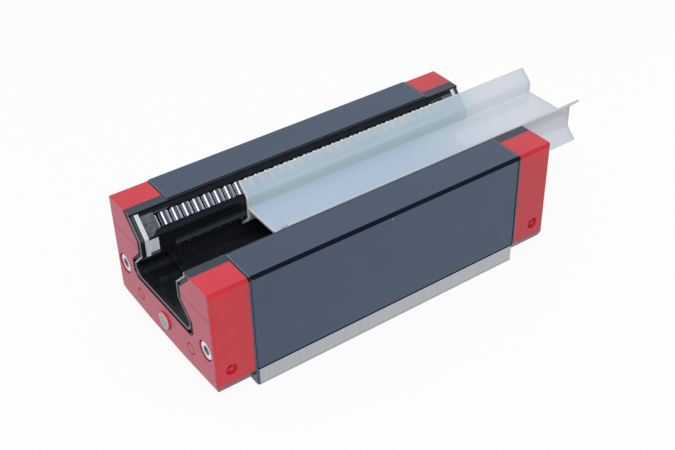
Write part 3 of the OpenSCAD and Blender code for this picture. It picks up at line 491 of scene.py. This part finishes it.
def milky_plastic():
    """Translucent extruded plastic with faint lines along its length, and painted light: pale cut
    ends, lighter walls and outer parts, and streaks where the rollers show through.
    """
    g = Graph("milky_plastic")
    x, reach, z = g.axis("X"), g.size(g.axis("Y")), g.axis("Z")
    lines = g.noise(1.0, 4, 0.6, g.scaled(12, 900, 900))
    colour = g.mix(g.spread(g.noise(45, 3), 0, 1), (0.60, 0.79, 0.98), (0.67, 0.85, 1.0))
    web = g.below(reach, WEB_HALF, 0.6 * MM)
    colour = g.mix(web, colour, (0.63, 0.80, 1.0))
    # Painted light: greener and lighter up the walls beside the web, with a pale highlight line where
    # they bend out
    lit_wall = g.band(reach, WEB_HALF - 0.2 * MM, WEB_HALF + 0.4 * MM, 0.35 * MM)
    colour = g.mix(lit_wall, colour, (0.72, 0.89, 0.95))
    bend_highlight = g.band(reach, WEB_HALF + 0.9 * MM, WEB_HALF + 1.1 * MM, 0.25 * MM)
    colour = g.mix(g.times(bend_highlight, 0.7), colour, (0.80, 0.95, 1.0))
    # Painted light: paler where it stands out of the rear end, with nothing dark behind it, and
    # whitest on faces that point down
    flank_out = g.step(x, END_X - 8 * MM, END_X + 12 * MM)
    web_out = g.step(x, END_X - 55 * MM, END_X + 15 * MM)
    outside = g.blend(web, flank_out, web_out)
    underside_shading = g.step(g.facing("Z"), -0.05, -0.2)
    colour = g.mix(outside, colour, g.mix(underside_shading, (0.83, 0.91, 1.0), (1.0, 1.0, 1.0)))
    # Painted light: the rollers behind the flank are painted on it as soft warm streaks, as if
    # showing through
    wave = g.math("SINE", g.times(g.minus(x, ROLLER_X), 2 * math.pi / ROLLER_PITCH))
    streak_low, streak_high = 49.8 * MM, 52.2 * MM
    streak = g.times(g.step(wave, 0.0, 0.9), g.band(g.rise(), streak_low, streak_high, 1.2 * MM),
                     g.below(x, BODY_HALF + 6 * MM, 12 * MM), g.spread(g.noise(70, 2), 0.25, 0.75))
    colour = g.mix(streak, colour, (0.91, 0.88, 0.82))
    # Painted light: the cut ends and the flanks' tips are painted cream, as light leaving the
    # plastic's edges
    ends = g.most(g.below(x, rail_low.x + 0.5 * MM, 0.2 * MM),
                  g.above(x, rail_high.x - 0.5 * MM, 0.2 * MM))
    rims = g.most(ends, g.above(z, rail_high.z - 0.4 * MM, 0.25 * MM))
    edge_glow = g.mix(ends, (0.86, 0.84, 0.76), (1.0, 0.98, 0.92))
    colour = g.mix(rims, colour, g.mix(flank_out, edge_glow, (0.68, 0.67, 0.60)))
    g.surface(Base_Color=colour, Roughness=g.spread(lines, 0.28, 0.4), Specular_IOR_Level=0.8,
              Normal=g.bump(lines, 0.02 * MM, 0.3))
    clear = g.add("ShaderNodeBsdfTransparent")
    g.put(clear.inputs["Color"], g.mix(outside, (1.0, 0.86, 0.66), (1.0, 0.95, 0.94)))
    opaque = g.blend(rims, g.blend(web, 0.67, 0.76), 0.95)
    mixer = g.add("ShaderNodeMixShader")
    g.link(opaque, mixer.inputs[0])
    g.link(clear.outputs[0], mixer.inputs[1])
    g.link(g.shader.outputs[0], mixer.inputs[2])
    g.link(mixer.outputs[0], g.out.inputs["Surface"])
    return g.mat


# For each of the record's slots: its material, and how wide its edges are rounded in mm
FINISHES = {
    "coated_steel": (coated_steel(), 0.25),
    "red_cap": (red_plastic(), 0.5),
    "black_plastic": (black_plastic(), 0.15),
    "seal_rubber": (seal_rubber(), 0.18),
    "grey_guide": (grey_guide(), 0.2),
    "white_plastic": (white_plastic(), 0.2),
    "tube_plastic": (tube_plastic(), 0),
    "roller_steel": (roller_steel(), 0),
    "screw_steel": (screw_steel(), 0.15),
    "plug_plastic": (port_plug(), 0.2),
    "milky_plastic": (milky_plastic(), 0.3),
}


# ---------------------------------------------------------------- CAD nodes

def dress(node, slot):
    """Gives a CAD node its material and softens its edges."""
    obj = NODES[node]
    material, edge = FINISHES[slot]
    obj.data.materials.clear()
    obj.data.materials.append(material)
    if not edge:
        return
    weld = obj.modifiers.new("weld", "WELD")
    weld.merge_threshold = 0.002 * MM
    bevel = obj.modifiers.new("edges", "BEVEL")
    bevel.width = edge * MM
    bevel.segments = 2
    bevel.limit_method = "ANGLE"
    bevel.angle_limit = math.radians(25)
    bevel.harden_normals = True
    bevel.use_clamp_overlap = True


for part in frame["record"]["subparts"]:
    dress(part["node"], part["material_slot"])


# ---------------------------------------------------------------- stage

FLOOR_SIZE = 12.0
# The share of the floor that glows to the camera; the rest keeps the object's shadow
FLOOR_GLOW = 0.92


def floor_material():
    """White to the camera and in reflections, and plain grey to the light."""
    g = Graph("floor_white")
    rays = g.add("ShaderNodeLightPath")
    seen = g.most(rays.outputs["Is Camera Ray"], rays.outputs["Is Glossy Ray"])
    seen = g.most(seen, rays.outputs["Is Transmission Ray"])
    g.surface(Base_Color=g.mix(seen, (0.42, 0.42, 0.43), (1.0, 1.0, 1.0)), Roughness=0.6)
    glow = g.add("ShaderNodeEmission")
    glow.inputs["Strength"].default_value = 1.0
    g.put(glow.inputs["Color"],
          g.mix(rays.outputs["Is Glossy Ray"], (1.0, 1.0, 1.0), (0.95, 0.99, 1.07)))
    mixer = g.add("ShaderNodeMixShader")
    g.link(g.times(seen, FLOOR_GLOW), mixer.inputs[0])
    g.link(g.shader.outputs["BSDF"], mixer.inputs[1])
    g.link(glow.outputs[0], mixer.inputs[2])
    g.link(mixer.outputs[0], g.out.inputs["Surface"])
    return g.mat


def floor():
    half, z = FLOOR_SIZE / 2, body_low.z - 0.02 * MM
    mesh = bpy.data.meshes.new("floor")
    corners = [(-half, -half, z), (half, -half, z), (half, half, z), (-half, half, z)]
    mesh.from_pydata(corners, [], [(0, 1, 2, 3)])
    mesh.materials.append(floor_material())
    obj = bpy.data.objects.new("floor", mesh)
    bpy.context.scene.collection.objects.link(obj)
    return obj


floor()


def world():
    """White to the camera, dim to the light, and dark in reflections from high on the near side."""
    scene_world = bpy.data.worlds.new("studio")
    bpy.context.scene.world = scene_world
    scene_world.use_nodes = True
    tree = scene_world.node_tree
    tree.nodes.clear()

    def add(kind, **values):
        node = tree.nodes.new(kind)
        for key, value in values.items():
            setattr(node, key, value)
        return node

    def background(colour, strength):
        node = add("ShaderNodeBackground")
        node.inputs["Color"].default_value = (*colour, 1)
        node.inputs["Strength"].default_value = strength
        return node.outputs[0]

    def mixed(factor, a, b):
        node = add("ShaderNodeMixShader")
        tree.links.new(factor, node.inputs[0])
        tree.links.new(a, node.inputs[1])
        tree.links.new(b, node.inputs[2])
        return node.outputs[0]

    place = add("ShaderNodeTexCoord").outputs["Generated"]

    def towards(direction, low, high):
        """1 near a direction, 0 away from it."""
        dot = add("ShaderNodeVectorMath", operation="DOT_PRODUCT")
        tree.links.new(place, dot.inputs[0])
        dot.inputs[1].default_value = Vector(direction).normalized()
        ramp = add("ShaderNodeMapRange", interpolation_type="SMOOTHSTEP")
        tree.links.new(dot.outputs["Value"], ramp.inputs["Value"])
        ramp.inputs["From Min"].default_value = low
        ramp.inputs["From Max"].default_value = high
        return ramp.outputs["Result"]

    room = background((0.10, 0.12, 0.19), 1.0)
    wide_screen = background((0.93, 0.97, 1.06), 1.05)
    small_screen = background((1.0, 0.99, 0.97), 1.6)
    mirrored = mixed(towards((0.5, 0.75, 0.45), 0.2, 0.75), room, wide_screen)
    mirrored = mixed(towards((-0.64, -0.54, 0.55), 0.93, 0.985), mirrored, small_screen)
    rays = add("ShaderNodeLightPath")
    lit = mixed(rays.outputs["Is Glossy Ray"], background((0.97, 0.98, 1.0), 0.5), mirrored)
    seen = add("ShaderNodeMath", operation="MAXIMUM")
    tree.links.new(rays.outputs["Is Camera Ray"], seen.inputs[0])
    tree.links.new(rays.outputs["Is Transmission Ray"], seen.inputs[1])
    out = add("ShaderNodeOutputWorld")
    white = background((1, 1, 1), 1.0)
    tree.links.new(mixed(seen.outputs[0], lit, white), out.inputs["Surface"])


world()


def area_light(name, place, target, size, power):
    lamp = bpy.data.lights.new(name, "AREA")
    lamp.size = size
    lamp.energy = power
    obj = bpy.data.objects.new(name, lamp)
    bpy.context.scene.collection.objects.link(obj)
    obj.location = place
    obj.rotation_euler = (Vector(target) - Vector(place)).to_track_quat("-Z", "Y").to_euler()
    obj.visible_glossy = False


area_light("key", place=(-0.3, -0.62, 0.95), target=(0, 0, 0.03), size=0.7, power=6)


# ---------------------------------------------------------------- camera

def camera(azimuth, elevation, roll, distance, target, lens):
    data = bpy.data.cameras.new("camera")
    data.lens = lens
    data.sensor_width = 36.0
    data.clip_start = 0.01
    obj = bpy.data.objects.new("camera", data)
    bpy.context.scene.collection.objects.link(obj)
    a, e, turn = math.radians(azimuth), math.radians(elevation), math.radians(roll)
    back = Vector((math.sin(a) * math.cos(e), -math.cos(a) * math.cos(e), math.sin(e)))
    level = Vector((math.cos(a), math.sin(a), 0))
    upright = back.cross(level)
    right = level * math.cos(turn) + upright * math.sin(turn)
    up = upright * math.cos(turn) - level * math.sin(turn)
    matrix = Matrix((right, up, back)).transposed().to_4x4()
    matrix.translation = Vector(target) + back * distance
    obj.matrix_world = matrix
    return obj


bpy.context.scene.camera = camera(azimuth=-34.612, elevation=36.838, roll=-1.354,
                                  distance=0.519904, target=(0, -0.000833, 0.02715), lens=60.71)
bpy.context.scene.view_settings.view_transform = "Standard"
